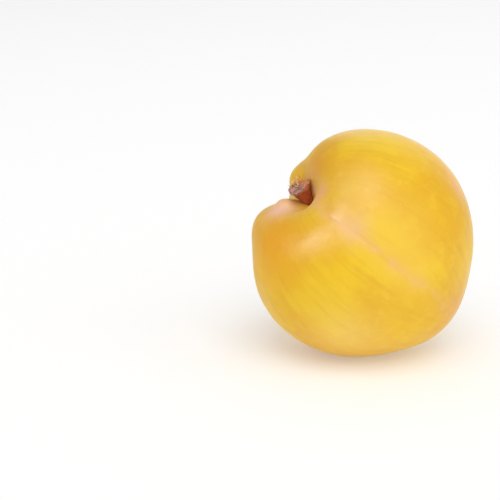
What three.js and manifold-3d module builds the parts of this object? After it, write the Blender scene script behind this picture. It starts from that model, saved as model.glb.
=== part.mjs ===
// A yellow plum with the stub of its stem, lying on its side on a small flat spot.
// Millimetres, +Z up. The origin is on the surface that the plum lies on, under the middle of the fruit.
// The fruit is one solid. The stem is a second solid that stands in a shallow socket in the stem cavity.

import * as THREE from 'three';
import { mergeVertices } from 'three/addons/utils/BufferGeometryUtils.js';
import Module from 'manifold-3d';

const degrees = Math.PI / 180;

// The fruit's body, from its middle to its skin.
const stemEndHeight = 25.0;
const blossomEndHeight = 24.47;
const cheekHalfWidth = 25.97;
const sutureHalfDepth = 24.0;

// The stem cavity. Each reach is the angle from the stem's axis, seen from the fruit's middle,
// within which the skin dips: little over the two cheeks, and twice as far towards the suture.
const cavityDepth = 10.2;
const cavityPower = 1.7;
const cheekReach = 16.5 * degrees;
const sutureReach = 35.8 * degrees;
const sutureSpread = 48 * degrees;

// Behind the stem the cavity's rim sags, as a saddle between the two cheeks.
const saddleDepth = 5.9;
const saddleAngle = 25.5 * degrees;
const saddleReach = 23.0 * degrees;
const saddleTurn = 16.3 * degrees;
const saddleSpread = 23.4 * degrees;

// The suture is a shallow groove from the cavity to the blossom end.
const grooveDepth = 0.30;
const grooveHalfWidth = 2.6;
const grooveMiddle = 63 * degrees;
const grooveReach = 69 * degrees;

// What makes this fruit uneven. Each rises, or dips where its height is below nothing, round one
// direction: an angle from the stem's axis and a turn from the suture. Its spread is measured
// on a ball of radius 1. The last three are the blunt point at the blossom end, the cavity's lip,
// which rises beside the stem on the near cheek, and a dip where the suture runs into the cavity.
const swellings = [
  { height: 0.78, fromStem: 23.8 * degrees, fromSuture: -107.5 * degrees, spread: 0.20 },
  { height: -0.96, fromStem: 43.7 * degrees, fromSuture: -105.0 * degrees, spread: 0.31 },
  { height: -1.21, fromStem: 30.7 * degrees, fromSuture: 132.8 * degrees, spread: 0.23 },
  { height: 2.88, fromStem: 172.5 * degrees, fromSuture: -63.1 * degrees, spread: 0.436 },
  { height: 3.27, fromStem: 7.2 * degrees, fromSuture: -95.0 * degrees, spread: 0.112 },
  { height: -2.0, fromStem: 14.0 * degrees, fromSuture: 5.0 * degrees, spread: 0.15 },
];

// How the fruit lies: its stem's axis leans from the vertical, towards a heading counted from +X,
// and the fruit is rolled about that axis until the suture faces -Y.
const stemLean = 51.2 * degrees;
const stemHeading = 185.0 * degrees;
const sutureRoll = 98.1 * degrees;
const flatSpotDepth = 0.55;

// The stem: a thin foot in the socket, and a flare to the torn end. Heights are measured up from the foot.
// The socket is wider than the foot, so that the flaring stem stays clear of the cavity's wall.
const socketDepth = 1.69;
const socketRadius = 2.1;
const socketOffset = 0.3;
const fitGap = 0.3;
const footRadius = 0.95;
const footSwell = 1.05;
const footHeight = 0.8;
const neckRadius = 1.4;
const neckHeight = 2.4;
const flareRadius = 1.85;
const flareHeight = 4.2;
const tornEndRadius = 2.5;
const stemLength = 5.9;
const stemTilt = 17.5 * degrees;
const stemToSuture = 14 * degrees;
const ridgeCount = 5;
const ridgeHeight = 0.08;
const tearHeight = 0.3;
const pithRadius = 0.8;
const pithDepth = 0.55;

// Facets, and how far they are crowded: the fruit's rings into the cavity,
// and its meridians at the suture and at the back.
const meridians = 96;
const rings = 42;
const ringCrowding = 1.35;
const meridianCrowding = 0.25;
const stemSides = 24;
const stemRings = 16;
const weldDistance = 1e-4;

const wasm = await Module();
wasm.setup();

function bell(distance, spread) {
  return Math.exp(-((distance / spread) ** 2));
}

function wrapped(angle) {
  return Math.atan2(Math.sin(angle), Math.cos(angle));
}

// A point on a ball of radius 1, in the fruit's own axes: x to the suture, z to the stem.
function direction(fromStem, fromSuture) {
  return new THREE.Vector3(
    Math.sin(fromStem) * Math.cos(fromSuture),
    Math.sin(fromStem) * Math.sin(fromSuture),
    Math.cos(fromStem),
  );
}

// The distance from the fruit's middle to its skin, for an angle from the stem's axis
// and a turn about that axis from the suture.
function skinDistance(fromStem, fromSuture) {
  const sideways = Math.sin(fromStem);
  const upright = Math.cos(fromStem);
  const endHeight = upright > 0 ? stemEndHeight : blossomEndHeight;
  const body = 1 / Math.hypot(
    sideways * Math.cos(fromSuture) / sutureHalfDepth,
    sideways * Math.sin(fromSuture) / cheekHalfWidth,
    upright / endHeight,
  );

  const nearSuture = bell(wrapped(fromSuture), sutureSpread);
  const reach = cheekReach + (sutureReach - cheekReach) * nearSuture;
  const cavity = cavityDepth * Math.exp(-((fromStem / reach) ** cavityPower));

  const nearBack = bell(wrapped(fromSuture - Math.PI - saddleTurn), saddleSpread);
  const offAxis = Math.min(fromStem / saddleAngle, 1);
  const saddle = saddleDepth * nearBack * offAxis * bell(fromStem - saddleAngle, saddleReach);

  const offSuture = body * sideways * Math.sin(fromSuture);
  const sutureSide = Math.sqrt(Math.max(Math.cos(fromSuture), 0));
  const groove = grooveDepth * bell(offSuture, grooveHalfWidth) * sutureSide * sideways
    * bell(fromStem - grooveMiddle, grooveReach);

  const way = direction(fromStem, fromSuture);
  const swelling = swellings.reduce((sum, rise) => {
    const gap = way.distanceTo(direction(rise.fromStem, rise.fromSuture));
    return sum + rise.height * bell(gap, rise.spread);
  }, 0);
  return body - cavity - saddle - groove + swelling;
}

// A unit sphere whose points are moved out to the skin.
function fruitSkin() {
  const sphere = new THREE.SphereGeometry(1, meridians, rings);
  const points = sphere.attributes.position;
  for (let i = 0; i < points.count; i += 1) {
    const evenFromStem = Math.acos(THREE.MathUtils.clamp(points.getY(i), -1, 1));
    const evenTurn = Math.atan2(points.getX(i), points.getZ(i));
    const fromStem = Math.PI * (evenFromStem / Math.PI) ** ringCrowding;
    const fromSuture = evenTurn - meridianCrowding * Math.sin(2 * evenTurn);
    const place = direction(fromStem, fromSuture).multiplyScalar(skinDistance(fromStem, fromSuture));
    points.setXYZ(i, place.x, place.y, place.z);
  }
  return sphere;
}

// The cavity's floor on the stem's axis, and the bottom of the socket below it.
const floorHeight = skinDistance(0, 0);
const socketBottom = floorHeight - socketDepth;

// The stem: a lathe form, then ridged and torn at its end.
// Standing the lathe's axis up along +Z turns its faces inwards, so each face is turned back.
function stemStub() {
  const outline = new THREE.SplineCurve([
    new THREE.Vector2(footRadius, 0),
    new THREE.Vector2(footSwell, footHeight),
    new THREE.Vector2(neckRadius, neckHeight),
    new THREE.Vector2(flareRadius, flareHeight),
    new THREE.Vector2(tornEndRadius, stemLength),
  ]).getPoints(stemRings);
  const profile = [
    new THREE.Vector2(0, 0),
    ...outline,
    new THREE.Vector2((tornEndRadius + pithRadius) / 2, stemLength),
    new THREE.Vector2(pithRadius, stemLength - pithDepth / 2),
    new THREE.Vector2(0, stemLength - pithDepth),
  ];
  const stub = new THREE.LatheGeometry(profile, stemSides);
  const points = stub.attributes.position;
  for (let i = 0; i < points.count; i += 1) {
    const along = points.getY(i);
    const turn = Math.atan2(points.getZ(i), points.getX(i));
    const radius = Math.hypot(points.getX(i), points.getZ(i));
    const free = Math.max(along - neckHeight, 0);
    const freeShare = Math.min(free / (stemLength - neckHeight), 1);
    const ridge = ridgeHeight * Math.sin(ridgeCount * turn) * freeShare * (radius / tornEndRadius);
    const tear = tearHeight * (Math.sin(2 * turn + 1) + 0.45 * Math.sin(5 * turn))
      * freeShare ** 4 * (radius / tornEndRadius);
    points.setXYZ(
      i,
      (radius + ridge) * Math.cos(turn),
      (radius + ridge) * Math.sin(turn),
      fitGap + along + tear,
    );
  }
  const corners = stub.index.array;
  for (let i = 0; i < corners.length; i += 3) {
    [corners[i + 1], corners[i + 2]] = [corners[i + 2], corners[i + 1]];
  }
  return stub;
}

function toSolid(geometry) {
  const bare = geometry.clone();
  bare.deleteAttribute('normal');
  bare.deleteAttribute('uv');
  const merged = mergeVertices(bare, weldDistance);
  return new wasm.Manifold(new wasm.Mesh({
    numProp: 3,
    vertProperties: new Float32Array(merged.attributes.position.array),
    triVerts: new Uint32Array(merged.index.array),
  }));
}

function toGeometry(solid) {
  const mesh = solid.getMesh();
  const geometry = new THREE.BufferGeometry();
  geometry.setAttribute('position', new THREE.BufferAttribute(new Float32Array(mesh.vertProperties), 3));
  geometry.setIndex(new THREE.BufferAttribute(new Uint32Array(mesh.triVerts), 1));
  geometry.computeVertexNormals();
  return geometry;
}

// The turn from the fruit's own axes (x to the suture, z to the stem) to the way it lies.
const lying = new THREE.Matrix4()
  .makeRotationZ(stemHeading)
  .multiply(new THREE.Matrix4().makeRotationY(stemLean))
  .multiply(new THREE.Matrix4().makeRotationZ(sutureRoll));

// The stem and its socket stand a little to the near side of the fruit's axis. They lean from it
// towards the far cheek and towards the suture, both about the socket's bottom.
const seated = lying.clone()
  .multiply(new THREE.Matrix4().makeTranslation(0, -socketOffset, socketBottom))
  .multiply(new THREE.Matrix4().makeRotationY(stemToSuture))
  .multiply(new THREE.Matrix4().makeRotationX(-stemTilt));

// The socket that the stem stands in.
const socketHeight = 5;
const socket = new THREE.CylinderGeometry(socketRadius, socketRadius, socketHeight, stemSides);
socket.rotateX(90 * degrees);
socket.translate(0, 0, socketHeight / 2);
socket.applyMatrix4(seated);

const skin = fruitSkin().applyMatrix4(lying);
skin.computeBoundingBox();
const flatLevel = skin.boundingBox.min.z + flatSpotDepth;

// A block under the fruit cuts its lowest skin off flat.
const blockSide = 60;
const block = new THREE.BoxGeometry(blockSide, blockSide, blockSide);
block.translate(0, 0, flatLevel - blockSide / 2);

const fruitSolid = toSolid(skin).subtract(toSolid(socket)).subtract(toSolid(block));
const fruitGeometry = toGeometry(fruitSolid);
const stemGeometry = stemStub().applyMatrix4(seated);

// Both pieces move together until the flat spot is at z = 0 and the fruit's middle is over the origin.
fruitGeometry.computeBoundingBox();
const middle = fruitGeometry.boundingBox.getCenter(new THREE.Vector3());
const toOrigin = new THREE.Vector3(-middle.x, -middle.y, -flatLevel);

const fruitSkinMaterial = new THREE.MeshStandardMaterial({ color: 0xebb62a, roughness: 0.38, metalness: 0 });
const stemBarkMaterial = new THREE.MeshStandardMaterial({ color: 0x8a4430, roughness: 0.85, metalness: 0 });

const fruit = new THREE.Mesh(fruitGeometry, fruitSkinMaterial);
fruit.name = 'fruit';
fruit.position.copy(toOrigin);

const stem = new THREE.Mesh(stemGeometry, stemBarkMaterial);
stem.name = 'stem';
stem.position.copy(toOrigin);

const plum = new THREE.Group();
plum.name = 'plum';
plum.add(fruit, stem);

export default plum;
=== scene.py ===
# %% [markdown]
# # A ripe yellow plum
#
# The object is one fruit, lying on its side, with the short torn stub of its stem. There are two pieces:
# the fruit, whose skin and flesh grew as one body, and the stem. Both already exist as plain solids in
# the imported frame. This script gives each a finer surface of the same form and size, and the colours and
# gloss of the real thing.
#
# The frame is loaded first, and its box is kept, so that the finished pieces can be compared with it at
# the end.

# %% Load the fixed frame
import math

import bpy
from mathutils import Matrix, Vector


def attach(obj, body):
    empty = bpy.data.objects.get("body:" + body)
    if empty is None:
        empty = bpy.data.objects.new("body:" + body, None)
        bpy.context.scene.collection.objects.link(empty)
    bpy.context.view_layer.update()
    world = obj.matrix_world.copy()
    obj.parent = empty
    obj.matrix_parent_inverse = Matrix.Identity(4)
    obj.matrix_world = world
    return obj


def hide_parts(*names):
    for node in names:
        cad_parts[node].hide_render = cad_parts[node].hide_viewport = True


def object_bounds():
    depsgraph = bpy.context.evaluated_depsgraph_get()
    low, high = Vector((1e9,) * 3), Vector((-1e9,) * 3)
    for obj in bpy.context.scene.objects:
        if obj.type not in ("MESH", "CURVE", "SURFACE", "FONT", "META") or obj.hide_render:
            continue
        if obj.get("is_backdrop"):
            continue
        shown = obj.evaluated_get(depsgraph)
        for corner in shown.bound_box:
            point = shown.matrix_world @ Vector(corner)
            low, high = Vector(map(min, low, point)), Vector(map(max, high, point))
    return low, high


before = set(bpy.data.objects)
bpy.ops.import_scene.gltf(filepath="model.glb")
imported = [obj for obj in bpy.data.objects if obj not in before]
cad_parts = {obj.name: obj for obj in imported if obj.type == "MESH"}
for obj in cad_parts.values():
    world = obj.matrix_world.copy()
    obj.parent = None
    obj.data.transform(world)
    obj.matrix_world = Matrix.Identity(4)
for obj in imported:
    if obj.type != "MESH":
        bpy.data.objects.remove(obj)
cad_low, cad_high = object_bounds()
MM = 0.001

print("nodes:", sorted(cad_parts), "box in mm:", [round(side / MM, 1) for side in cad_high - cad_low])

# %% [markdown]
# ## Two helpers
#
# A colour is easiest to name as the hex value that a screen shows, but a shader adds and multiplies
# light, so each hex value is turned to linear numbers once, here. A node tree is easiest to read when
# each node is one line that says what feeds it. One function does that for geometry and for materials
# alike: what it is given may be a number, a socket, or another node, whose first output is then meant.

# %% Colour and node helpers
def linear(hex_value):
    """The linear colour of an sRGB hex value such as 'EDBB20'."""
    channels = [int(hex_value[i:i + 2], 16) / 255 for i in (0, 2, 4)]
    return tuple(c / 12.92 if c <= 0.04045 else ((c + 0.055) / 1.055) ** 2.4 for c in channels) + (1.0,)


def add(tree, kind, inputs=(), **settings):
    """Adds a node with its settings, and feeds its inputs, given in order or by name or number."""
    node = tree.nodes.new(kind)
    for name, value in settings.items():
        setattr(node, name, value)
    pairs = inputs.items() if isinstance(inputs, dict) else enumerate(inputs)
    for key, value in pairs:
        if isinstance(value, bpy.types.Node):
            value = next(socket for socket in value.outputs if socket.enabled)
        if isinstance(value, bpy.types.NodeSocket):
            tree.links.new(value, node.inputs[key])
        elif value is not None:
            node.inputs[key].default_value = value
    return node


print("body yellow, linear:", [round(c, 3) for c in linear("EDBB20")])

# %% [markdown]
# ## How the plum lies
#
# The fruit is easiest to describe about its own axes: z up the stem, x towards the suture, y towards one
# cheek, with the origin at its middle. It lies with the stem leaning 51 degrees from the vertical. These
# are the turns that the solid was made with, so the fine surface lands where the solid is.

# %% The turn from the fruit's own axes to the way it lies
STEM_LEAN = math.radians(51.2)
STEM_HEADING = math.radians(185.0)
SUTURE_ROLL = math.radians(98.1)

lying = (
    Matrix.Rotation(STEM_HEADING, 4, "Z")
    @ Matrix.Rotation(STEM_LEAN, 4, "Y")
    @ Matrix.Rotation(SUTURE_ROLL, 4, "Z")
)
print("the stem points to", [round(c, 3) for c in lying.col[2][:3]])

# %% [markdown]
# ## The fruit's form
#
# A plum's skin follows a rule: a squashed ball, a funnel round the stem that is deeper towards the
# suture, a sag in the rim behind the stem, a shallow suture groove, and a blunt point at the blossom
# end. A rule like that is what Geometry Nodes are for, because every size stays a named input that can
# be changed later. Sculpting would give a form that no number describes. The sizes are in millimetres
# and degrees, seen from the fruit's middle, and they are the sizes of the solid. Those from the crease
# on are finer forms that only this surface has.
#
# The swellings are gentle rises and dips, each round one direction. Their four numbers are the height in
# millimetres, the direction as degrees from the stem and degrees round from the suture, and how wide it
# is on a ball of radius one. They make the near shoulder, the flat of the near cheek, the hollow of the
# far rim, the blunt tip, and the lip and the dip by the stem.

# %% The sizes of the fruit
FRUIT_SIZES = {
    "Stem end height": 25.0,
    "Blossom end height": 24.47,
    "Cheek half width": 25.97,
    "Suture half depth": 24.0,
    "Cavity depth": 10.2,
    "Cavity power": 1.7,
    "Cheek reach": 16.5,
    "Suture reach": 35.8,
    "Suture spread": 48.0,
    "Saddle depth": 5.9,
    "Saddle angle": 25.5,
    "Saddle reach": 23.0,
    "Saddle turn": 16.3,
    "Saddle spread": 23.4,
    "Groove depth": 0.30,
    "Groove half width": 2.6,
    "Groove middle": 63.0,
    "Groove reach": 69.0,
    "Crease depth": 0.10,
    "Crease half width": 0.45,
    "Crease wander": 0.5,
    "Pucker depth": 0.22,
    "Pucker count": 9.0,
    "Pucker reach": 15.0,
    "Unevenness": 0.4,
    "Unevenness size": 11.0,
    "Scar depth": 0.25,
    "Scar half width": 0.55,
}
ANGLES = (
    "Cheek reach", "Suture reach", "Suture spread", "Saddle angle", "Saddle reach", "Saddle turn",
    "Saddle spread", "Groove middle", "Groove reach", "Pucker reach",
)
SWELLINGS = {
    "Near shoulder": (0.78, 23.8, -107.5, 0.20),
    "Near cheek flat": (-0.96, 43.7, -105.0, 0.31),
    "Far rim hollow": (-1.21, 30.7, 132.8, 0.23),
    "Blunt point": (2.88, 172.5, -63.1, 0.436),
    "Lip by the stem": (3.27, 7.2, -95.0, 0.112),
    "Dip by the stem": (-2.0, 14.0, 5.0, 0.15),
}
FRUIT_CELLS = 120
GRID_PULL = 1.15
LOWEST_PLACE = (-1.0, -1.0, 0.0)

print(len(FRUIT_SIZES), "sizes and", len(SWELLINGS), "swellings for the fruit")

# %% [markdown]
# ## A bell, used again and again
#
# Most of the plum's forms fade away smoothly on both sides of a line or a point, and so do its patches
# of colour. One small node group gives that fade, exp(-(distance / spread)^2). It is made once for
# geometry trees and once for materials, because Blender keeps the two kinds apart.

# %% The bell groups
def bell_group(kind):
    tree = bpy.data.node_groups.new("bell", kind)
    for name in ("Distance", "Spread"):
        tree.interface.new_socket(name, in_out="INPUT", socket_type="NodeSocketFloat")
    tree.interface.new_socket("Height", in_out="OUTPUT", socket_type="NodeSocketFloat")
    given = add(tree, "NodeGroupInput")
    share = add(tree, "ShaderNodeMath", [given.outputs["Distance"], given.outputs["Spread"]],
                operation="DIVIDE")
    square = add(tree, "ShaderNodeMath", [share, share], operation="MULTIPLY")
    fall = add(tree, "ShaderNodeMath", [square, -1.0], operation="MULTIPLY")
    height = add(tree, "ShaderNodeMath", [fall], operation="EXPONENT")
    add(tree, "NodeGroupOutput", [height])
    return tree


BELL = bell_group("GeometryNodeTree")
FADE = bell_group("ShaderNodeTree")
print("the bell group has", len(BELL.nodes), "nodes")

# %% [markdown]
# ## The fruit's tree
#
# The surface starts as a cube cut into a fine grid, because a cube blown up to a ball has no poles where
# faces bunch up. The tangent spreads the grid evenly over the ball. Each point is then two angles, one
# from the stem and one round it, and the rule above gives its distance from the middle. The grid is
# drawn a little towards the stem, where the forms are small. The last steps turn the fruit to the way it
# lies, lift what is lower than the table to it, which presses the flat spot, and end in Realize
# Instances and Set Material.

# %% Points of the grid as angles
def grid_angles(tree):
    """A cube's grid as a mesh, and for each point its angle from the stem and its turn from the suture."""
    cube = add(tree, "GeometryNodeMeshCube", {
        "Size": (2.0, 2.0, 2.0),
        **{"Vertices " + axis: FRUIT_CELLS + 1 for axis in "XYZ"},
    })
    place = add(tree, "GeometryNodeInputPosition")
    eighth = add(tree, "ShaderNodeVectorMath", {0: place, 3: math.pi / 4}, operation="SCALE")
    spread = add(tree, "ShaderNodeVectorMath", [eighth], operation="TANGENT")
    axes = add(tree, "ShaderNodeSeparateXYZ", [spread])
    across = add(tree, "ShaderNodeCombineXYZ", [axes.outputs["X"], axes.outputs["Y"]])
    off_axis = add(tree, "ShaderNodeVectorMath", [across], operation="LENGTH").outputs["Value"]
    even = add(tree, "ShaderNodeMath", [off_axis, axes.outputs["Z"]], operation="ARCTAN2")
    share = add(tree, "ShaderNodeMath", [even, math.pi], operation="DIVIDE")
    drawn_in = add(tree, "ShaderNodeMath", [share, GRID_PULL], operation="POWER")
    from_stem = add(tree, "ShaderNodeMath", [drawn_in, math.pi], operation="MULTIPLY")
    from_suture = add(tree, "ShaderNodeMath", [axes.outputs["Y"], axes.outputs["X"]], operation="ARCTAN2")
    return cube, from_stem, from_suture


# %% [markdown]
# ### The main forms
#
# Each form is one short function that returns how far it moves the skin in or out. The body is an
# ellipsoid, and its height differs above and below the middle.

# %% Body, cavity, saddle, suture and swellings
def body_form(tree, sizes, sideways, upright, round_x, round_y):
    above = add(tree, "ShaderNodeMath", [upright, 0.0], operation="GREATER_THAN")
    height = add(tree, "ShaderNodeMix", {
        0: above,
        2: sizes["Blossom end height"],
        3: sizes["Stem end height"],
    })
    direction = add(tree, "ShaderNodeCombineXYZ", [
        add(tree, "ShaderNodeMath", [sideways, round_x], operation="MULTIPLY"),
        add(tree, "ShaderNodeMath", [sideways, round_y], operation="MULTIPLY"),
        upright,
    ])
    half_sizes = add(tree, "ShaderNodeCombineXYZ", [
        sizes["Suture half depth"],
        sizes["Cheek half width"],
        height,
    ])
    scaled = add(tree, "ShaderNodeVectorMath", [direction, half_sizes], operation="DIVIDE")
    length = add(tree, "ShaderNodeVectorMath", [scaled], operation="LENGTH").outputs["Value"]
    return direction, add(tree, "ShaderNodeMath", [1.0, length], operation="DIVIDE")


def cavity_form(tree, sizes, from_stem, from_suture):
    near_suture = add(tree, "GeometryNodeGroup", [from_suture, sizes["Suture spread"]], node_tree=BELL)
    reach = add(tree, "ShaderNodeMix", {0: near_suture, 2: sizes["Cheek reach"], 3: sizes["Suture reach"]})
    share = add(tree, "ShaderNodeMath", [from_stem, reach], operation="DIVIDE")
    steep = add(tree, "ShaderNodeMath", [share, sizes["Cavity power"]], operation="POWER")
    fall = add(tree, "ShaderNodeMath", [steep, -1.0], operation="MULTIPLY")
    fade = add(tree, "ShaderNodeMath", [fall], operation="EXPONENT")
    return add(tree, "ShaderNodeMath", [fade, sizes["Cavity depth"]], operation="MULTIPLY")


def saddle_form(tree, sizes, from_stem, from_suture):
    past_back = add(tree, "ShaderNodeMath", [from_suture, sizes["Saddle turn"]], operation="SUBTRACT")
    behind = add(tree, "ShaderNodeMath", [past_back, math.pi], operation="SUBTRACT")
    wrapped = add(tree, "ShaderNodeMath", [behind, math.pi, -math.pi], operation="WRAP")
    near_back = add(tree, "GeometryNodeGroup", [wrapped, sizes["Saddle spread"]], node_tree=BELL)
    off_ring = add(tree, "ShaderNodeMath", [from_stem, sizes["Saddle angle"]], operation="SUBTRACT")
    near_ring = add(tree, "GeometryNodeGroup", [off_ring, sizes["Saddle reach"]], node_tree=BELL)
    share = add(tree, "ShaderNodeMath", [from_stem, sizes["Saddle angle"]],
                operation="DIVIDE", use_clamp=True)
    faded = add(tree, "ShaderNodeMath", [near_ring, share], operation="MULTIPLY")
    form = add(tree, "ShaderNodeMath", [near_back, faded], operation="MULTIPLY")
    return add(tree, "ShaderNodeMath", [form, sizes["Saddle depth"]], operation="MULTIPLY")


def suture_side(tree, sizes, from_stem, round_x, sideways):
    """How strongly the suture shows: nothing at the back, in the cavity and at the blossom end."""
    facing = add(tree, "ShaderNodeMath", [round_x, 0.0], operation="MAXIMUM")
    soft = add(tree, "ShaderNodeMath", [facing], operation="SQRT")
    off_middle = add(tree, "ShaderNodeMath", [from_stem, sizes["Groove middle"]], operation="SUBTRACT")
    along = add(tree, "GeometryNodeGroup", [off_middle, sizes["Groove reach"]], node_tree=BELL)
    shown = add(tree, "ShaderNodeMath", [soft, along], operation="MULTIPLY")
    return add(tree, "ShaderNodeMath", [shown, sideways], operation="MULTIPLY")


def swelling_form(tree, given, name, way):
    """A gentle rise or hollow round one direction, by how far a unit ball's point is from it."""
    gap = add(tree, "ShaderNodeVectorMath", [way, given.outputs[name + " way"]], operation="DISTANCE")
    near = add(tree, "GeometryNodeGroup", [gap.outputs["Value"], given.outputs[name + " spread"]],
               node_tree=BELL)
    return add(tree, "ShaderNodeMath", [near, given.outputs[name + " height"]], operation="MULTIPLY")


# %% [markdown]
# ### The fine forms
#
# A real skin is never an exact rule. It is slightly uneven, it puckers into small folds where the stem
# leaves it, the suture has a fine crease that wanders, and the dried flower leaves a pit at the tip.
# These are fractions of a millimetre, and they are what makes a reflection break up instead of running
# smooth.

# %% Crease, puckers, unevenness and scar
PUCKER_BEND = 5.0


def crease_form(tree, sizes, off_suture, shown, own_place):
    wobble = add(tree, "ShaderNodeTexNoise", {"Vector": own_place, "Scale": 0.12, "Detail": 2.0})
    centred = add(tree, "ShaderNodeMath", [wobble, 0.5], operation="SUBTRACT")
    wander = add(tree, "ShaderNodeMath", [centred, sizes["Crease wander"]], operation="MULTIPLY")
    beside = add(tree, "ShaderNodeMath", [off_suture, wander], operation="ADD")
    line = add(tree, "GeometryNodeGroup", [beside, sizes["Crease half width"]], node_tree=BELL)
    faded = add(tree, "ShaderNodeMath", [line, shown], operation="MULTIPLY")
    return add(tree, "ShaderNodeMath", [faded, sizes["Crease depth"]], operation="MULTIPLY")


def pucker_form(tree, sizes, from_stem, from_suture, round_x, round_y):
    ring = add(tree, "ShaderNodeCombineXYZ", [round_x, round_y, from_stem])
    noise = add(tree, "ShaderNodeTexNoise", {"Vector": ring, "Scale": 1.6, "Detail": 1.0})
    bend = add(tree, "ShaderNodeMath", [noise, PUCKER_BEND], operation="MULTIPLY")
    folds = add(tree, "ShaderNodeMath", [from_suture, sizes["Pucker count"], bend], operation="MULTIPLY_ADD")
    wave = add(tree, "ShaderNodeMath", [folds], operation="SINE")
    near_stem = add(tree, "GeometryNodeGroup", [from_stem, sizes["Pucker reach"]], node_tree=BELL)
    share = add(tree, "ShaderNodeMath", [from_stem, sizes["Pucker reach"]],
                operation="DIVIDE", use_clamp=True)
    faded = add(tree, "ShaderNodeMath", [near_stem, share], operation="MULTIPLY")
    form = add(tree, "ShaderNodeMath", [wave, faded], operation="MULTIPLY")
    return add(tree, "ShaderNodeMath", [form, sizes["Pucker depth"]], operation="MULTIPLY")


def uneven_form(tree, sizes, own_place):
    scale = add(tree, "ShaderNodeMath", [1.0, sizes["Unevenness size"]], operation="DIVIDE")
    noise = add(tree, "ShaderNodeTexNoise", {
        "Vector": own_place, "Scale": scale, "Detail": 2.0, "Roughness": 0.45,
    })
    centred = add(tree, "ShaderNodeMath", [noise, 0.5], operation="SUBTRACT")
    return add(tree, "ShaderNodeMath", [centred, sizes["Unevenness"]], operation="MULTIPLY")


def scar_form(tree, sizes, from_tip, body):
    off_tip = add(tree, "ShaderNodeMath", [from_tip, body], operation="MULTIPLY")
    pit = add(tree, "GeometryNodeGroup", [off_tip, sizes["Scar half width"]], node_tree=BELL)
    return add(tree, "ShaderNodeMath", [pit, sizes["Scar depth"]], operation="MULTIPLY")


# %% [markdown]
# ### Putting the forms together
#
# The forms that only dip are taken away from the body, and the swellings and the unevenness, which may
# do either, are added. The result is a distance in millimetres along each direction.

# %% The whole tree
def plum_tree(material):
    tree = bpy.data.node_groups.new("plum_skin", "GeometryNodeTree")
    for name, value in FRUIT_SIZES.items():
        socket = tree.interface.new_socket(name, in_out="INPUT", socket_type="NodeSocketFloat")
        socket.default_value = value
    for name in SWELLINGS:
        tree.interface.new_socket(name + " height", in_out="INPUT", socket_type="NodeSocketFloat")
        tree.interface.new_socket(name + " way", in_out="INPUT", socket_type="NodeSocketVector")
        tree.interface.new_socket(name + " spread", in_out="INPUT", socket_type="NodeSocketFloat")
    tree.interface.new_socket("Middle", in_out="INPUT", socket_type="NodeSocketVector")
    tree.interface.new_socket("Turn", in_out="INPUT", socket_type="NodeSocketRotation")
    tree.interface.new_socket("Geometry", in_out="OUTPUT", socket_type="NodeSocketGeometry")
    given = add(tree, "NodeGroupInput")
    sizes = {name: given.outputs[name] for name in FRUIT_SIZES}
    for name in ANGLES:
        sizes[name] = add(tree, "ShaderNodeMath", [sizes[name]], operation="RADIANS").outputs[0]

    cube, from_stem, from_suture = grid_angles(tree)
    sideways = add(tree, "ShaderNodeMath", [from_stem], operation="SINE")
    upright = add(tree, "ShaderNodeMath", [from_stem], operation="COSINE")
    round_x = add(tree, "ShaderNodeMath", [from_suture], operation="COSINE")
    round_y = add(tree, "ShaderNodeMath", [from_suture], operation="SINE")
    direction, body = body_form(tree, sizes, sideways, upright, round_x, round_y)
    own_place = add(tree, "ShaderNodeVectorMath", {0: direction, 3: body.outputs[0]}, operation="SCALE")
    off_suture = add(tree, "ShaderNodeSeparateXYZ", [own_place]).outputs["Y"]
    shown = suture_side(tree, sizes, from_stem, round_x, sideways)
    groove_line = add(tree, "GeometryNodeGroup", [off_suture, sizes["Groove half width"]], node_tree=BELL)
    groove_here = add(tree, "ShaderNodeMath", [groove_line, shown], operation="MULTIPLY")
    groove = add(tree, "ShaderNodeMath", [groove_here, sizes["Groove depth"]], operation="MULTIPLY")
    from_tip = add(tree, "ShaderNodeMath", [math.pi, from_stem], operation="SUBTRACT")

    dips = [
        cavity_form(tree, sizes, from_stem, from_suture),
        saddle_form(tree, sizes, from_stem, from_suture),
        groove,
        crease_form(tree, sizes, off_suture, shown, own_place),
        pucker_form(tree, sizes, from_stem, from_suture, round_x, round_y),
        scar_form(tree, sizes, from_tip, body),
    ]
    changes = [swelling_form(tree, given, name, direction) for name in SWELLINGS]
    changes.append(uneven_form(tree, sizes, own_place))
    distance = body
    for form in dips:
        distance = add(tree, "ShaderNodeMath", [distance, form], operation="SUBTRACT")
    for form in changes:
        distance = add(tree, "ShaderNodeMath", [distance, form], operation="ADD")

    skin = add(tree, "ShaderNodeVectorMath", {0: direction, 3: distance.outputs[0]}, operation="SCALE")
    moved = add(tree, "GeometryNodeSetPosition", {"Geometry": cube, "Position": skin})
    laid = add(tree, "GeometryNodeTransform", {
        "Geometry": moved,
        "Translation": given.outputs["Middle"],
        "Rotation": given.outputs["Turn"],
        "Scale": (MM, MM, MM),
    })
    laid_place = add(tree, "GeometryNodeInputPosition")
    pressed = add(tree, "ShaderNodeVectorMath", [laid_place, LOWEST_PLACE], operation="MAXIMUM")
    flat = add(tree, "GeometryNodeSetPosition", {"Geometry": laid, "Position": pressed})
    smooth = add(tree, "GeometryNodeSetShadeSmooth", {"Geometry": flat, "Shade Smooth": True})
    real = add(tree, "GeometryNodeRealizeInstances", {"Geometry": smooth})
    skinned = add(tree, "GeometryNodeSetMaterial", {"Geometry": real, "Material": material})
    add(tree, "NodeGroupOutput", [skinned])
    return tree


print("inputs of the fruit's tree:", len(FRUIT_SIZES) + 3 * len(SWELLINGS) + 2)

# %% [markdown]
# ## Where a point lies on the fruit, for the materials
#
# Colour on a plum follows the fruit and not the table, so every material first turns the object's
# coordinates back to millimetres in the fruit's own axes. The Mapping node's Texture type does that: it
# takes away the place, the turn and the scale it is given.

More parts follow.
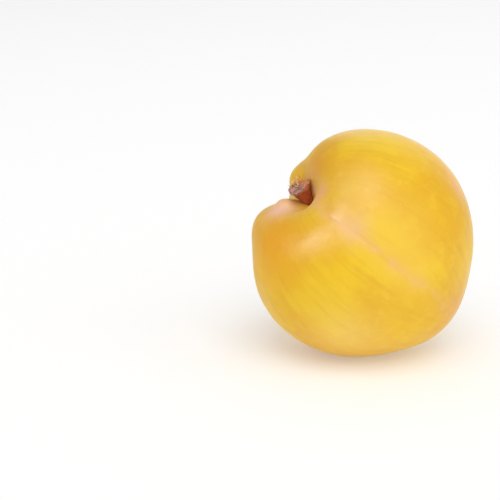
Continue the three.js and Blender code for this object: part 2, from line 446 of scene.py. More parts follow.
# %% Own coordinates in a material
FRUIT_MIDDLE = Vector((-0.34, -0.04, 24.91)) * MM


def new_material(name):
    material = bpy.data.materials.new(name)
    material.use_nodes = True
    material.node_tree.nodes.clear()
    return material, material.node_tree


def own_place(tree):
    """Millimetres from the fruit's middle, along its own axes."""
    object_place = add(tree, "ShaderNodeTexCoord").outputs["Object"]
    return add(tree, "ShaderNodeMapping", {
        "Vector": object_place,
        "Location": FRUIT_MIDDLE,
        "Rotation": lying.to_euler("XYZ"),
        "Scale": (MM, MM, MM),
    }, vector_type="TEXTURE")


def patch(tree, place, centre, spread):
    """A round patch that fades away from a point, both in millimetres."""
    gap = add(tree, "ShaderNodeVectorMath", [place, centre], operation="DISTANCE").outputs["Value"]
    return add(tree, "ShaderNodeGroup", [gap, spread], node_tree=FADE)


def lay_colours(tree, ground, layers):
    """Lays colours one over another. Each layer has a pattern, the most that it covers, and a hex value."""
    colour = linear(ground)
    for pattern, most, hex_value in layers:
        share = add(tree, "ShaderNodeMath", [pattern, most], operation="MULTIPLY")
        mixed = add(tree, "ShaderNodeMix", {0: share, 6: colour, 7: linear(hex_value)}, data_type="RGBA")
        colour = mixed.outputs[2]
    return colour


print("the fruit's middle in mm:", [round(c, 2) for c in FRUIT_MIDDLE / MM])

# %% [markdown]
# ## Plum skin
#
# The skin of a yellow plum is thin and translucent over juicy flesh, with a film of wax on it. Light
# goes in, turns warm and comes out again a few millimetres away, so the shader scatters it below the
# surface, furthest in red. The wax is satin, not wet: a roughness near 0.4, and an index of 1.45, which
# is that of plant wax. The colour is never one yellow. This table has the patches that differ: warmer
# where the sun reached the far cheek, paler where the bloom is thick, and pinkish where the skin is
# stretched over the cavity's lip and the suture. Some patches are painted light and shade: an orange
# bounce of light on the near cheek, shade on the cavity's far flank, highlights on the lip and at the
# suture's top, light on the cavity's walls, and light from the floor on the underside. Each row is a
# place and a spread in millimetres, the most that the patch covers, and its colour.

# %% Patches of the skin
SKIN_PATCHES = {
    # Painted reflection: the near cheek is deeper orange, as if lit by light bounced from a plum beside it.
    "painted orange bounce on the near cheek": ((9.0, -13.0, 18.5), 9.0, 0.55, "EE9A06"),
    "sunned far cheek": ((12.0, 17.8, -10.8), 4.5, 0.5, "DFA80E"),
    "shaded flank": ((4.3, 6.4, 20.0), 4.6, 0.75, "E09810"),
    # Pink skin and painted highlight: the lip is pale pink, and paler where light catches it.
    "pink lip of the cavity with painted highlight": ((1.0, -5.0, 19.5), 3.6, 0.85, "F2C4B0"),
    # Pink skin and painted light: the far wall of the cavity is pale pink, brighter where it faces the
    # light.
    "pink wall of the cavity with painted light": ((11.0, 2.8, 17.0), 2.3, 0.65, "F0A888"),
    # Painted light: the wall right beside the stem is near white, against the shade between stem and wall.
    "painted light on the wall beside the stem": ((4.2, 2.6, 16.3), 1.9, 0.9, "FFD2B4"),
    # Pink skin and painted highlight: the suture's top is pale pink, with a pale spot where light shines
    # back.
    "pink suture top with painted highlight": ((21.2, 1.0, 9.4), 3.2, 0.5, "F4C8A0"),
    "bloom in front": ((22.8, 5.5, 2.0), 9.0, 0.40, "F2CC58"),
    "bloom below the suture": ((23.3, 0.6, -5.8), 6.0, 0.30, "F2CA60"),
    "bloom on the far shoulder": ((17.8, 8.8, 14.3), 5.0, 0.40, "F4CE62"),
    "yellow by the tip": ((19.9, -1.3, -13.8), 7.0, 0.35, "F0CC30"),
    # Painted light: the underside is paler, as if lit by light from the floor.
    "painted floor light on the underside": ((16.5, -18.2, -5.0), 8.5, 0.50, "FADC78"),
    "blush by the tip": ((10.3, 2.2, -21.9), 5.0, 0.4, "E9A070"),
    "blush on the far cheek": ((10.2, 21.2, -5.6), 3.2, 0.55, "F0B08C"),
}

print(len(SKIN_PATCHES), "patches on the skin")

# %% [markdown]
# ### Clouds, mottle and streaks
#
# Over the whole fruit the yellow is cloudy, and fine streaks run from stem to tip, because the veins
# under the skin do. The streaks come from noise that is read round the axis and hardly at all along it.

# %% The ground of the skin
STREAKS_ROUND = 9.0


def skin_ground(tree, place, from_stem, across):
    round_axis = add(tree, "ShaderNodeVectorMath", [across], operation="NORMALIZE")
    along = add(tree, "ShaderNodeCombineXYZ", [0.0, 0.0, from_stem])
    spacing = (STREAKS_ROUND, STREAKS_ROUND, 0.0)
    streak_place = add(tree, "ShaderNodeVectorMath", [round_axis, spacing, along], operation="MULTIPLY_ADD")
    clouds = add(tree, "ShaderNodeTexNoise", {"Vector": place, "Scale": 0.07, "Detail": 3.0})
    mottle = add(tree, "ShaderNodeTexNoise", {
        "Vector": place, "Scale": 0.4, "Detail": 4.0, "Roughness": 0.6,
    })
    streaks = add(tree, "ShaderNodeTexNoise", {"Vector": streak_place, "Scale": 1.6, "Detail": 3.0})
    return [
        (add(tree, "ShaderNodeMapRange", [clouds, 0.40, 0.65]), 1.0, "EEC414"),
        (add(tree, "ShaderNodeMapRange", [streaks, 0.50, 0.75]), 0.45, "DC9E0E"),
        (add(tree, "ShaderNodeMapRange", [mottle, 0.50, 0.72]), 0.35, "F2CE30"),
    ]


# %% [markdown]
# ### Suture, cork and pores
#
# Along the suture the skin is paler and pinker, in a line that comes and goes. Where the stem leaves the
# cavity the skin turns to brown cork. All over there are lenticels, the pores of the skin, as pale
# specks a quarter of a millimetre across, and the dried flower left a brown scar at the tip.

# %% The marks on the skin
SUTURE_WANDER = 2.4
SUTURE_LINE = 0.55
SUTURE_HALO = 1.9
SUTURE_FRONT = (2.0, 12.0)
SUTURE_HEIGHTS = (-20.0, 2.0)
CORK_EDGE = (2.1, 3.0)
CORK_RAGGEDNESS = 1.2
CORK_HEIGHTS = (0.0, 5.0)
PORE_EDGE = (0.04, 0.08)
SCAR_PLACE = (1.6, -3.2, -26.5)
SCAR_SPREAD = 0.7


def skin_marks(tree, place, axes, off_axis):
    wobble = add(tree, "ShaderNodeTexNoise", {"Vector": place, "Scale": 0.22, "Detail": 3.0})
    beside = add(tree, "ShaderNodeMath", [wobble, SUTURE_WANDER, axes.outputs["Y"]],
                 operation="MULTIPLY_ADD")
    off_suture = add(tree, "ShaderNodeMath", [beside, SUTURE_WANDER / 2], operation="SUBTRACT")
    in_front = add(tree, "ShaderNodeMapRange", [axes.outputs["X"], *SUTURE_FRONT])
    above_tip = add(tree, "ShaderNodeMapRange", [axes.outputs["Z"], *SUTURE_HEIGHTS, 0.25, 1.0])
    breaks = add(tree, "ShaderNodeTexNoise", {
        "Vector": place, "Scale": 0.3, "Detail": 2.0, "Roughness": 0.6,
    })
    broken = add(tree, "ShaderNodeMapRange", [breaks, 0.38, 0.6, 0.3, 1.0])
    shown = add(tree, "ShaderNodeMath", [in_front, above_tip], operation="MULTIPLY")
    shown_here = add(tree, "ShaderNodeMath", [shown, broken], operation="MULTIPLY")
    line = add(tree, "ShaderNodeGroup", [off_suture, SUTURE_LINE], node_tree=FADE)
    halo = add(tree, "ShaderNodeGroup", [off_suture, SUTURE_HALO], node_tree=FADE)
    line_here = add(tree, "ShaderNodeMath", [line, shown_here], operation="MULTIPLY")
    halo_here = add(tree, "ShaderNodeMath", [halo, shown_here], operation="MULTIPLY")

    rough_edge = add(tree, "ShaderNodeTexNoise", {"Vector": place, "Scale": 1.4, "Detail": 3.0})
    off_stem = add(tree, "ShaderNodeMath", [rough_edge, CORK_RAGGEDNESS, off_axis], operation="MULTIPLY_ADD")
    cork = add(tree, "ShaderNodeMapRange", [off_stem, *CORK_EDGE, 1.0, 0.0])
    stem_side = add(tree, "ShaderNodeMapRange", [axes.outputs["Z"], *CORK_HEIGHTS])
    cork_here = add(tree, "ShaderNodeMath", [cork, stem_side], operation="MULTIPLY")

    pores = add(tree, "ShaderNodeTexVoronoi", {"Vector": place, "Scale": 0.45}, feature="F1")
    pore = add(tree, "ShaderNodeMapRange", [pores.outputs["Distance"], *PORE_EDGE, 1.0, 0.0])
    scar = patch(tree, place, SCAR_PLACE, SCAR_SPREAD)
    return [
        (halo_here, 0.45, "F2BE7C"),
        (line_here, 0.30, "F0B490"),
        (cork_here, 0.25, "B0743C"),
        (pore, 0.22, "FBE79A"),
        (scar, 0.85, "6B3A16"),
    ]


# %% [markdown]
# ### The whole skin
#
# A fine bump makes the skin's pores catch the light, and a slow change of roughness shows where the wax
# is thinner. The sheen stands for the thin bloom of wax, which looks whitish at a grazing angle. It is
# weaker on the near cheek, where the fruit was held when it was picked.

# %% The plum skin material
HANDLED_PLACE = (5.0, -17.0, 15.0)
HANDLED_SPREAD = 10.0
PORE_RELIEF = 0.05 * MM


def plum_skin():
    material, tree = new_material("plum skin with bloom")
    place = own_place(tree)
    axes = add(tree, "ShaderNodeSeparateXYZ", [place])
    across = add(tree, "ShaderNodeCombineXYZ", [axes.outputs["X"], axes.outputs["Y"]])
    off_axis = add(tree, "ShaderNodeVectorMath", [across], operation="LENGTH").outputs["Value"]
    from_stem = add(tree, "ShaderNodeMath", [off_axis, axes.outputs["Z"]], operation="ARCTAN2")
    layers = skin_ground(tree, place, from_stem, across)
    for centre, spread, most, hex_value in SKIN_PATCHES.values():
        layers.append((patch(tree, place, centre, spread), most, hex_value))
    layers += skin_marks(tree, place, axes, off_axis)

    rubbed = add(tree, "ShaderNodeTexNoise", {"Vector": place, "Scale": 0.16, "Detail": 4.0})
    handled = patch(tree, place, HANDLED_PLACE, HANDLED_SPREAD)
    grain = add(tree, "ShaderNodeTexNoise", {
        "Vector": place, "Scale": 1.3, "Detail": 3.0, "Roughness": 0.55,
    })
    shader = add(tree, "ShaderNodeBsdfPrincipled", {
        "Base Color": lay_colours(tree, "E5AF0C", layers),
        "Roughness": add(tree, "ShaderNodeMapRange", [rubbed, 0.35, 0.65, 0.36, 0.48]),
        "Normal": add(tree, "ShaderNodeBump", {"Strength": 1.0, "Distance": PORE_RELIEF, "Height": grain}),
        "IOR": 1.45,
        "Specular IOR Level": 0.3,
        "Subsurface Weight": 0.3,
        "Subsurface Radius": (1.0, 0.5, 0.12),
        "Subsurface Scale": 3.0 * MM,
        "Sheen Weight": add(tree, "ShaderNodeMapRange", [handled, 0.0, 1.0, 0.23, 0.06]),
        "Sheen Roughness": 0.3,
        "Sheen Tint": linear("FFF3D6"),
    })
    add(tree, "ShaderNodeOutputMaterial", [shader])
    return material


SKIN = plum_skin()
print(SKIN.name, "has", len(SKIN.node_tree.nodes), "nodes")

# %% [markdown]
# ## Growing a piece
#
# A tree works as a modifier on an empty mesh. Its inputs are set by their identifiers, the result is
# taken as a plain mesh, and the modifier is removed, so that what stays in the scene is ordinary
# geometry.

# %% From a tree to a plain mesh
def grow(name, tree, values):
    piece = bpy.data.objects.new(name, bpy.data.meshes.new(name))
    bpy.context.scene.collection.objects.link(piece)
    modifier = piece.modifiers.new("growth", "NODES")
    modifier.node_group = tree
    for item in tree.interface.items_tree:
        if item.in_out == "INPUT" and item.name in values:
            modifier[item.identifier] = values[item.name]
    evaluated = piece.evaluated_get(bpy.context.evaluated_depsgraph_get())
    plain = bpy.data.meshes.new_from_object(evaluated)
    piece.modifiers.remove(modifier)
    piece.data = plain
    plain.name = name
    print(name, "triangles:", sum(len(face.vertices) - 2 for face in plain.polygons))
    return piece


# %% [markdown]
# ## The fruit
#
# The fine surface takes the place of the plain solid of the same name.

# %% Build the fruit
placing = {"Middle": FRUIT_MIDDLE, "Turn": lying.to_euler("XYZ")}
swelling_sizes = {}
for name, (height, from_stem, from_suture, spread) in SWELLINGS.items():
    aside = math.sin(math.radians(from_stem))
    swelling_sizes[name + " height"] = height
    swelling_sizes[name + " spread"] = spread
    swelling_sizes[name + " way"] = (
        aside * math.cos(math.radians(from_suture)),
        aside * math.sin(math.radians(from_suture)),
        math.cos(math.radians(from_stem)),
    )
fruit = grow("plum_fruit", plum_tree(SKIN), {**FRUIT_SIZES, **swelling_sizes, **placing})
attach(fruit, "root")
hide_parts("fruit")

# %% [markdown]
# ## The stem
#
# The stem is a short stub of soft wood that tore when the fruit was picked. Its foot is thin, and it
# flares to a wide torn end with a pith hollow in the middle. A tube bent by a rule suits Geometry Nodes
# again: the radius along it is a curve, and ridges, wrinkles and the tear are moves added to that. It is
# built upright on its foot, and then leaned 17.5 degrees towards the far cheek and 14 degrees towards
# the suture, as the solid is.

# %% The sizes of the stem
STEM_SIZES = {
    "Length": 5.9,
    "Neck height": 2.4,
    "Ridge count": 5.0,
    "Ridge height": 0.08,
    "Wrinkle height": 0.35,
    "Tear height": 0.3,
    "Splinter height": 1.6,
    "Pith radius": 0.8,
    "Pith depth": 0.55,
    "Fibre density": 4.0,
    "Fibre length": 1.9,
    "Fibre radius": 0.2,
}
STEM_WIDEST = 3.0
STEM_RADII = [(0.0, 0.95), (0.8, 1.05), (2.4, 1.4), (4.2, 1.9), (5.9, 2.62)]
STEM_FOOT = Vector((0.0, -0.3, 13.9))
STEM_FOOT_GAP = 0.3
STEM_LEAN_TURNS = (math.radians(-17.5), math.radians(14.0), 0.0)

print("stem radii in mm:", STEM_RADII)

# %% [markdown]
# ### Where a point is on the stub
#
# The primitive is a cylinder, one unit high and one in radius, with rings in its two ends, so that the
# torn end has points that can be moved. Each point is read as a turn, a share of the height, and a share
# of the way out. The wrinkles of the bark are a noise that is drawn out a little along the stub.

# %% Places on the stub
WRINKLE_STRETCH = (2.6, 2.6, 2.2)


def stub_places(tree, sizes):
    place = add(tree, "GeometryNodeInputPosition")
    axes = add(tree, "ShaderNodeSeparateXYZ", [place])
    across = add(tree, "ShaderNodeCombineXYZ", [axes.outputs["X"], axes.outputs["Y"]])
    outwards = add(tree, "ShaderNodeVectorMath", [across], operation="LENGTH").outputs["Value"]
    turn = add(tree, "ShaderNodeMath", [axes.outputs["Y"], axes.outputs["X"]], operation="ARCTAN2")
    share = add(tree, "ShaderNodeMath", [axes.outputs["Z"], 0.5], operation="ADD")
    along = add(tree, "ShaderNodeMath", [share, sizes["Length"]], operation="MULTIPLY")
    past_neck = add(tree, "ShaderNodeMath", [along, sizes["Neck height"]], operation="SUBTRACT")
    free_length = add(tree, "ShaderNodeMath", [sizes["Length"], sizes["Neck height"]], operation="SUBTRACT")
    free_share = add(tree, "ShaderNodeMath", [past_neck, free_length], operation="DIVIDE", use_clamp=True)
    return {
        "place": place,
        "outwards": outwards,
        "turn": turn,
        "share": share,
        "along": along,
        "free": free_share,
    }


def stub_radius(tree, sizes, at):
    """The radius along the stub, with its ridges and wrinkles."""
    profile = add(tree, "ShaderNodeFloatCurve", {"Value": at["share"]})
    curve = profile.mapping.curves[0]
    length = STEM_SIZES["Length"]
    curve.points[0].location = (0.0, STEM_RADII[0][1] / STEM_WIDEST)
    curve.points[1].location = (1.0, STEM_RADII[-1][1] / STEM_WIDEST)
    for height, radius in STEM_RADII[1:-1]:
        curve.points.new(height / length, radius / STEM_WIDEST)
    profile.mapping.update()
    plain = add(tree, "ShaderNodeMath", [profile, STEM_WIDEST], operation="MULTIPLY")

    ridge_turn = add(tree, "ShaderNodeMath", [at["turn"], sizes["Ridge count"]], operation="MULTIPLY")
    ridge_wave = add(tree, "ShaderNodeMath", [ridge_turn], operation="SINE")
    ridge = add(tree, "ShaderNodeMath", [ridge_wave, sizes["Ridge height"]], operation="MULTIPLY")
    ridge_here = add(tree, "ShaderNodeMath", [ridge, at["free"]], operation="MULTIPLY")
    grain_place = add(tree, "ShaderNodeVectorMath", [at["place"], WRINKLE_STRETCH], operation="MULTIPLY")
    grain = add(tree, "ShaderNodeTexNoise", {
        "Vector": grain_place, "Scale": 1.6, "Detail": 4.0, "Roughness": 0.6,
    })
    centred = add(tree, "ShaderNodeMath", [grain, 0.5], operation="SUBTRACT")
    relief = add(tree, "ShaderNodeMath", [centred, sizes["Wrinkle height"], ridge_here],
                 operation="MULTIPLY_ADD")
    outer = add(tree, "ShaderNodeMath", [plain, relief], operation="ADD")
    return add(tree, "ShaderNodeMath", [outer, at["outwards"]], operation="MULTIPLY")


# %% [markdown]
# ### The torn end
#
# The tear is a slow wave round the rim, with splinters on it from a fine noise and the pith's hollow in
# the middle. All of that dies away below the end.

# %% The tear, and the whole stub
STUB_GRID = {"Vertices": 96, "Side Segments": 80, "Fill Segments": 16}
SMALL_WAVE = 0.45
TEAR_FADE = 6.0


def tear_height(tree, sizes, at, radius):
    two = add(tree, "ShaderNodeMath", [at["turn"], 2.0, 1.0], operation="MULTIPLY_ADD")
    two_wave = add(tree, "ShaderNodeMath", [two], operation="SINE")
    five = add(tree, "ShaderNodeMath", [at["turn"], 5.0], operation="MULTIPLY")
    five_wave = add(tree, "ShaderNodeMath", [five], operation="SINE")
    wave = add(tree, "ShaderNodeMath", [five_wave, SMALL_WAVE, two_wave], operation="MULTIPLY_ADD")
    slow = add(tree, "ShaderNodeMath", [wave, sizes["Tear height"]], operation="MULTIPLY")
    slow_here = add(tree, "ShaderNodeMath", [slow, at["outwards"]], operation="MULTIPLY")
    noise = add(tree, "ShaderNodeTexNoise", {
        "Vector": at["place"], "Scale": 5.5, "Detail": 4.0, "Roughness": 0.65,
    })
    centred = add(tree, "ShaderNodeMath", [noise, 0.5], operation="SUBTRACT")
    splinters = add(tree, "ShaderNodeMath", [centred, sizes["Splinter height"], slow_here],
                    operation="MULTIPLY_ADD")
    hollow = add(tree, "GeometryNodeGroup", [radius, sizes["Pith radius"]], node_tree=BELL)
    pith = add(tree, "ShaderNodeMath", [hollow, sizes["Pith depth"]], operation="MULTIPLY")
    torn = add(tree, "ShaderNodeMath", [splinters, pith], operation="SUBTRACT")
    near_end = add(tree, "ShaderNodeMath", [at["free"], TEAR_FADE], operation="POWER")
    return add(tree, "ShaderNodeMath", [torn, near_end], operation="MULTIPLY")


def stub_mesh(tree, sizes):
    tube = add(tree, "GeometryNodeMeshCylinder", {**STUB_GRID, "Radius": 1.0, "Depth": 1.0},
               fill_type="TRIANGLE_FAN")
    at = stub_places(tree, sizes)
    radius = stub_radius(tree, sizes, at)
    cosine = add(tree, "ShaderNodeMath", [at["turn"]], operation="COSINE")
    sine = add(tree, "ShaderNodeMath", [at["turn"]], operation="SINE")
    new_place = add(tree, "ShaderNodeCombineXYZ", [
        add(tree, "ShaderNodeMath", [cosine, radius], operation="MULTIPLY"),
        add(tree, "ShaderNodeMath", [sine, radius], operation="MULTIPLY"),
        add(tree, "ShaderNodeMath", [at["along"], tear_height(tree, sizes, at, radius)], operation="ADD"),
    ])
    return add(tree, "GeometryNodeSetPosition", {"Geometry": tube, "Position": new_place})


# %% [markdown]
# ### The frayed fibres
#
# Where the wood tore, fibres of it stand up, on the side away from the suture, which let go last. Thin
# cones are placed on the torn end there, each with its own turn, length and colour, and a noise bends
# them so that none is straight. How fresh a fibre is, is kept on it as a number, which the bark's
# material reads as a colour.

# %% Fibres on the torn end
FIBRE_ZONE_DEPTH = 0.7
FIBRE_ZONE_EDGE = (-0.4, -1.2)
FIBRE_ZONE_HALF_WIDTH = 1.0
FIBRE_TURNS = {0: (-0.5, -0.5, 0.0), 1: (0.5, 0.5, 6.28)}
FIBRE_SCALES = {0: (0.7, 0.7, 0.5), 1: (1.4, 1.4, 1.1)}
FIBRE_FRESHNESS = {2: 0.2, 3: 1.0}
FIBRE_TIP_RADIUS = 0.02
FIBRE_SEED = 7


def fibres(tree, sizes, stub):
    place = add(tree, "GeometryNodeInputPosition")
    axes = add(tree, "ShaderNodeSeparateXYZ", [place])
    rim = add(tree, "ShaderNodeMath", [sizes["Length"], FIBRE_ZONE_DEPTH], operation="SUBTRACT")
    at_end = add(tree, "ShaderNodeMath", [axes.outputs["Z"], rim], operation="GREATER_THAN")
    far_side = add(tree, "ShaderNodeMapRange", [axes.outputs["X"], *FIBRE_ZONE_EDGE])
    in_middle = add(tree, "GeometryNodeGroup", [axes.outputs["Y"], FIBRE_ZONE_HALF_WIDTH], node_tree=BELL)
    standing_here = add(tree, "ShaderNodeMath", [far_side, in_middle], operation="MULTIPLY")
    here = add(tree, "ShaderNodeMath", [at_end, standing_here], operation="MULTIPLY")
    density = add(tree, "ShaderNodeMath", [here, sizes["Fibre density"]], operation="MULTIPLY")
    roots = add(tree, "GeometryNodeDistributePointsOnFaces", {
        "Mesh": stub,
        "Density": density,
        "Seed": FIBRE_SEED,
    })
    cone = add(tree, "GeometryNodeMeshCone", {
        "Vertices": 6,
        "Side Segments": 5,
        "Radius Top": FIBRE_TIP_RADIUS,
        "Radius Bottom": sizes["Fibre radius"],
        "Depth": sizes["Fibre length"],
    })
    turn = add(tree, "FunctionNodeRandomValue", {**FIBRE_TURNS, "Seed": FIBRE_SEED},
               data_type="FLOAT_VECTOR")
    size = add(tree, "FunctionNodeRandomValue", {**FIBRE_SCALES, "Seed": FIBRE_SEED + 1},
               data_type="FLOAT_VECTOR")
    standing = add(tree, "GeometryNodeInstanceOnPoints", {
        "Points": roots.outputs["Points"],
        "Instance": cone,
        "Rotation": turn,
        "Scale": size,
    })
    freshness = add(tree, "FunctionNodeRandomValue", {**FIBRE_FRESHNESS, "Seed": FIBRE_SEED + 2},
                    data_type="FLOAT")
    marked = add(tree, "GeometryNodeStoreNamedAttribute", {
        "Geometry": standing,
        "Name": "fibre",
        "Value": freshness,
    }, data_type="FLOAT", domain="INSTANCE")
    real = add(tree, "GeometryNodeRealizeInstances", {"Geometry": marked})
    noise = add(tree, "ShaderNodeTexNoise", {"Vector": place, "Scale": 0.8, "Detail": 1.0})
    way = add(tree, "ShaderNodeVectorMath", [noise.outputs["Color"], (0.5, 0.5, 0.5)], operation="SUBTRACT")
    above = add(tree, "ShaderNodeMath", [axes.outputs["Z"], rim], operation="SUBTRACT")
    bend = add(tree, "ShaderNodeVectorMath", {0: way, 3: above.outputs[0]}, operation="SCALE")
    return add(tree, "GeometryNodeSetPosition", {"Geometry": real, "Offset": bend})


# %% [markdown]
# ### The stem's tree
#
# The stub and its fibres are joined, leaned about the foot, and then turned and placed with the fruit.

# %% The whole stem tree
def stem_tree(material):
    tree = bpy.data.node_groups.new("torn_stem", "GeometryNodeTree")
    for name in STEM_SIZES:
        tree.interface.new_socket(name, in_out="INPUT", socket_type="NodeSocketFloat")
    for name, kind in (("Foot", "Vector"), ("Lean", "Rotation"), ("Middle", "Vector"), ("Turn", "Rotation")):
        tree.interface.new_socket(name, in_out="INPUT", socket_type="NodeSocket" + kind)
    tree.interface.new_socket("Geometry", in_out="OUTPUT", socket_type="NodeSocketGeometry")
    given = add(tree, "NodeGroupInput")
    sizes = {name: given.outputs[name] for name in STEM_SIZES}
    stub = stub_mesh(tree, sizes)
    both = add(tree, "GeometryNodeJoinGeometry", [fibres(tree, sizes, stub)])
    tree.links.new(stub.outputs[0], both.inputs[0])
    raised = add(tree, "GeometryNodeTransform", {"Geometry": both, "Translation": (0.0, 0.0, STEM_FOOT_GAP)})
    leaned = add(tree, "GeometryNodeTransform", {
        "Geometry": raised,
        "Translation": given.outputs["Foot"],
        "Rotation": given.outputs["Lean"],
    })
    laid = add(tree, "GeometryNodeTransform", {
        "Geometry": leaned,
        "Translation": given.outputs["Middle"],
        "Rotation": given.outputs["Turn"],
        "Scale": (MM, MM, MM),
    })
    smooth = add(tree, "GeometryNodeSetShadeSmooth", {"Geometry": laid, "Shade Smooth": True})
    real = add(tree, "GeometryNodeRealizeInstances", {"Geometry": smooth})
    barked = add(tree, "GeometryNodeSetMaterial", {"Geometry": real, "Material": material})
    add(tree, "NodeGroupOutput", [barked])
    return tree


# %% [markdown]
# ## Stem bark
#
# The bark of the stub is dry and reddish brown, darkest at its foot and on the side of the near cheek.
# The torn end has dried to a pinkish grey with dark veins and one purple spot, and it is still orange on
# the side of the far cheek. The fibres on it kept the pale yellow of fresh wood. Dry wood has no gloss,
# so the roughness is high. A second Mapping node turns the fruit's coordinates to the leaning stem's
# own, so that the zones run across it.

# %% The stem bark material
BARK_STRETCH = (2.5, 2.5, 0.8)
BARK_RELIEF = 0.12 * MM
PURPLE_SPOT = (0.6, -0.6, 6.1)
PURPLE_SPREAD = 0.8
BLOTCH_HEIGHT = 2.0
FOOT_HEIGHTS = (2.3, 3.6)
TORN_HEIGHTS = (6.3, 6.9)
BRUISED_HEIGHTS = (6.4, 7.0)
NEAR_SIDE = (-2.0, -1.2)
ORANGE_SIDE = (0.1, 0.9)


def stem_bark():
    material, tree = new_material("dry plum stem bark")
    place = add(tree, "ShaderNodeMapping", {
        "Vector": own_place(tree),
        "Location": STEM_FOOT,
        "Rotation": STEM_LEAN_TURNS,
    }, vector_type="TEXTURE")
    axes = add(tree, "ShaderNodeSeparateXYZ", [place])
    stretched = add(tree, "ShaderNodeVectorMath", [place, BARK_STRETCH], operation="MULTIPLY")
    grain = add(tree, "ShaderNodeTexNoise", {
        "Vector": stretched, "Scale": 1.2, "Detail": 4.0, "Roughness": 0.6,
    })
    blotches = add(tree, "ShaderNodeTexNoise", {"Vector": place, "Scale": 0.9, "Detail": 3.0})
    height = add(tree, "ShaderNodeMath", [blotches, BLOTCH_HEIGHT, axes.outputs["Z"]],
                 operation="MULTIPLY_ADD")
    torn = add(tree, "ShaderNodeMapRange", [height, *TORN_HEIGHTS])
    bruised = add(tree, "ShaderNodeMath", [
        add(tree, "ShaderNodeMapRange", [grain, 0.50, 0.60]),
        add(tree, "ShaderNodeMapRange", [height, *BRUISED_HEIGHTS]),
    ], operation="MULTIPLY")
    fresh = add(tree, "ShaderNodeMath", [
        add(tree, "ShaderNodeMapRange", [axes.outputs["Y"], *ORANGE_SIDE]),
        torn,
    ], operation="MULTIPLY")
    fibre = add(tree, "ShaderNodeAttribute", attribute_name="fibre").outputs["Fac"]
    layers = [
        (add(tree, "ShaderNodeMapRange", [grain, 0.42, 0.66]), 0.8, "B8623E"),
        (add(tree, "ShaderNodeMapRange", [blotches, 0.5, 0.7]), 0.6, "7E3210"),
        (add(tree, "ShaderNodeMapRange", [axes.outputs["Y"], *NEAR_SIDE, 1.0, 0.0]), 0.7, "4A2008"),
        (add(tree, "ShaderNodeMapRange", [height, *FOOT_HEIGHTS, 1.0, 0.0]), 0.8, "7A300E"),
        (torn, 0.9, "C48E78"),
        (fresh, 0.85, "DC864C"),
        (bruised, 0.85, "74464E"),
        (patch(tree, place, PURPLE_SPOT, PURPLE_SPREAD), 0.9, "5E3850"),
        (add(tree, "ShaderNodeMapRange", [fibre, 0.0, 0.2]), 1.0, "DD8A3C"),
        (add(tree, "ShaderNodeMapRange", [fibre, 0.3, 0.8]), 1.0, "F6D88C"),
    ]
    shader = add(tree, "ShaderNodeBsdfPrincipled", {
        "Base Color": lay_colours(tree, "A64C22", layers),
        "Roughness": add(tree, "ShaderNodeMapRange", [grain, 0.3, 0.7, 0.62, 0.82]),
        "Normal": add(tree, "ShaderNodeBump", {"Strength": 1.0, "Distance": BARK_RELIEF, "Height": grain}),
        "IOR": 1.5,
    })
    add(tree, "ShaderNodeOutputMaterial", [shader])
    return material


BARK = stem_bark()
print(BARK.name, "has", len(BARK.node_tree.nodes), "nodes")

# %% [markdown]
# ## Build the stem
#
# It stands in the cavity, leaned about its foot, so the fruit's own middle and turn place it too.

# %% Build the stem
leaning = {"Foot": STEM_FOOT, "Lean": STEM_LEAN_TURNS}
stem = grow("plum_stem", stem_tree(BARK), {**STEM_SIZES, **leaning, **placing})
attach(stem, "root")
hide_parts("stem")

# %% [markdown]
# ## Floor
#
# The photograph was taken on white that is almost without shadow, as on a table of white acrylic with a
# lamp under it. The floor is one square of that: it reflects most light, and glows a little of its own.

# %% The floor
FLOOR_HALF = 4.0


def floor_material():
    material, tree = new_material("white acrylic lit from below")
    shader = add(tree, "ShaderNodeBsdfPrincipled", {
        "Base Color": linear("E3E3E3"),
        "Roughness": 0.9,
        "Emission Color": linear("FFFFFF"),
        "Emission Strength": 0.25,
    })
    add(tree, "ShaderNodeOutputMaterial", [shader])
    return material


floor_mesh = bpy.data.meshes.new("floor")
corners = [(x * FLOOR_HALF, y * FLOOR_HALF, 0.0) for x, y in ((-1, -1), (1, -1), (1, 1), (-1, 1))]
floor_mesh.from_pydata(corners, [], [(0, 1, 2, 3)])
floor_mesh.materials.append(floor_material())
floor = bpy.data.objects.new("floor", floor_mesh)
bpy.context.scene.collection.objects.link(floor)
floor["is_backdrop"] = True

# %% [markdown]
# ## Light
#
# A white world and three broad softboxes light the fruit from above, from the front and from the right.
# The other three lamps only shine back from the wax: the bright core of the overhead softbox, a small
# one on the left, whose light lies along the near lobe, and a white backdrop behind, which gives the
# edge its pale rim. Their light is kept from the colours, so that it doesn't bleach the skin.

# %% World and softboxes
world = bpy.data.worlds.new("white studio")
bpy.context.scene.world = world
world.use_nodes = True
world.node_tree.nodes["Background"].inputs["Color"].default_value = linear("FFFFFF")
world.node_tree.nodes["Background"].inputs["Strength"].default_value = 0.57
bpy.context.scene.view_settings.view_transform = "Standard"


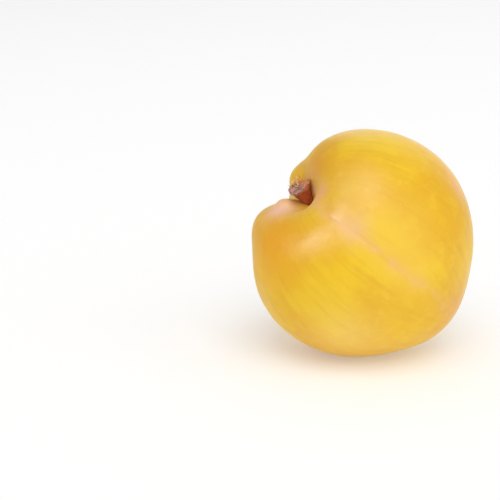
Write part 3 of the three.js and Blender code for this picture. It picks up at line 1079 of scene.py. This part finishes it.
def softbox(name, direction, distance, size, watts, shine_only=False):
    """A square lamp, facing the fruit from a direction. Its distance and its side are in metres."""
    light = bpy.data.lights.new(name, "AREA")
    light.shape = "SQUARE"
    light.size = size
    light.energy = watts
    lamp = bpy.data.objects.new(name, light)
    way = Vector(direction).normalized()
    lamp.location = FRUIT_MIDDLE + way * distance
    lamp.rotation_euler = way.to_track_quat("Z", "Y").to_euler()
    lamp.visible_diffuse = not shine_only
    bpy.context.scene.collection.objects.link(lamp)


softbox("overhead softbox", (0.05, -0.48, 0.87), 4.0, 3.2, 70.0)
softbox("front softbox", (0.35, -0.9, 0.15), 2.5, 2.5, 8.0)
softbox("right softbox", (0.85, -0.35, 0.4), 2.5, 2.0, 6.0)
softbox("core of the overhead softbox", (-0.1, -0.44, 0.88), 2.0, 1.0, 17.0, shine_only=True)
softbox("strip on the left", (-0.76, -0.40, 0.52), 0.9, 0.35, 8.5, shine_only=True)
softbox("white backdrop", (0.3, 0.85, 0.45), 3.0, 3.0, 26.0, shine_only=True)
print("lights:", [lamp.name for lamp in bpy.data.lights])

# %% [markdown]
# ## Camera
#
# Where the outline and the suture fall in the photograph gives the camera: 15.5 degrees above level, a
# 90 mm lens, and 281.5 mm from the fruit. The fruit is right of the middle of the picture, so the camera
# stands left of it.

# %% The camera
CAMERA_RISE = math.radians(15.5)
CAMERA_DISTANCE = 281.5 * MM
FOCAL_LENGTH = 90.0
SENSOR_WIDTH = 36.0
ASIDE = 24.88 * MM
BELOW = 1.49 * MM

right = Vector((1.0, 0.0, 0.0))
up = Vector((0.0, math.sin(CAMERA_RISE), math.cos(CAMERA_RISE)))
backwards = Vector((0.0, -math.cos(CAMERA_RISE), math.sin(CAMERA_RISE)))
lens = bpy.data.cameras.new("camera")
lens.lens = FOCAL_LENGTH
lens.sensor_width = SENSOR_WIDTH
lens.clip_start = 0.01
camera = bpy.data.objects.new("camera", lens)
camera.location = FRUIT_MIDDLE - right * ASIDE - up * BELOW + backwards * CAMERA_DISTANCE
camera.rotation_euler = backwards.to_track_quat("Z", "Y").to_euler()
bpy.context.scene.collection.objects.link(camera)
bpy.context.scene.camera = camera
print("camera at", [round(c, 4) for c in camera.location])

# %% [markdown]
# ## Compare the box with the solid's box
#
# How much the box grew over the solid's box is printed, so the pieces made here can be checked against it.

# %% Sizes and finish
look_low, look_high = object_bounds()
growth = (look_high - look_low) - (cad_high - cad_low)
print("box grew by, in mm:", [round(float(side) / MM, 2) for side in growth])
